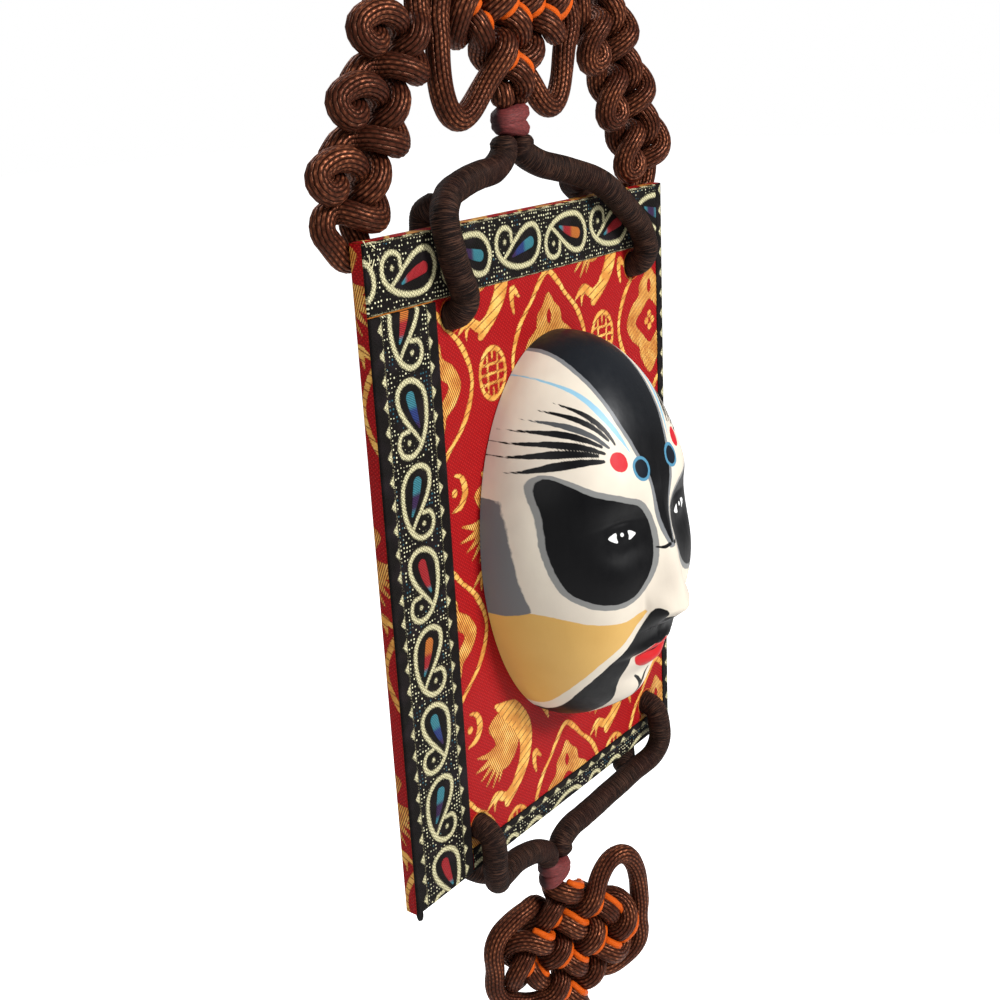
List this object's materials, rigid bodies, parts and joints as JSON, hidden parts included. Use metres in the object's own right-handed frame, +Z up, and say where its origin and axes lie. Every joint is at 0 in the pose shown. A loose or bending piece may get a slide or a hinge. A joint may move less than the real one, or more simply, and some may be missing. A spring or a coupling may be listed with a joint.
{
  "type": "opera mask wall hanging",
  "caption": "Moulded and painted opera face mask on a brocade-covered board with woven ribbon trim, hung from knotted cords above and carrying a knot and tassel below.",
  "frame": {"origin": "inside top of the hanging loop, where the nail or hook bears, in the plane in which the cords hang", "axes": "+X to the right of someone who looks at the mask, +Y back towards the wall, +Z up; the face looks along -Y"},
  "size_m": [0.1337, 0.0512, 0.4633],
  "materials": {
    "brocade": "red satin brocade with woven gold motifs, over stiff board",
    "ribbon": "dark jacquard ribbon with pale gold paisleys",
    "mask_paint": "moulded clay, hand painted, satin",
    "wrapped_cord": "dark brown thread wrapped tightly round a core",
    "binding": "dark red thread binding",
    "knot_cord": "brown braided satin cord",
    "inlay_cord": "thin orange braided cord laid along the knots",
    "tassel_thread": "brown rayon threads"
  },
  "bodies": {
    "root": {"backing_board": "brocade", "trim_left": "ribbon", "trim_top": "ribbon", "trim_right": "ribbon", "trim_bottom": "ribbon", "mask": "mask_paint", "hanger_top_left": "wrapped_cord", "hanger_top_right": "wrapped_cord", "hanger_bottom_left": "wrapped_cord", "hanger_bottom_right": "wrapped_cord", "collar_top": "binding", "collar_bottom": "binding", "collar_apex": "binding", "knot_chain_left": "knot_cord", "knot_chain_right": "knot_cord", "endless_knot_top": "knot_cord", "endless_knot_bottom": "knot_cord", "hanging_loop": "knot_cord", "tassel_head": "binding", "tassel_skirt": "tassel_thread"}
  },
  "joints": []
}
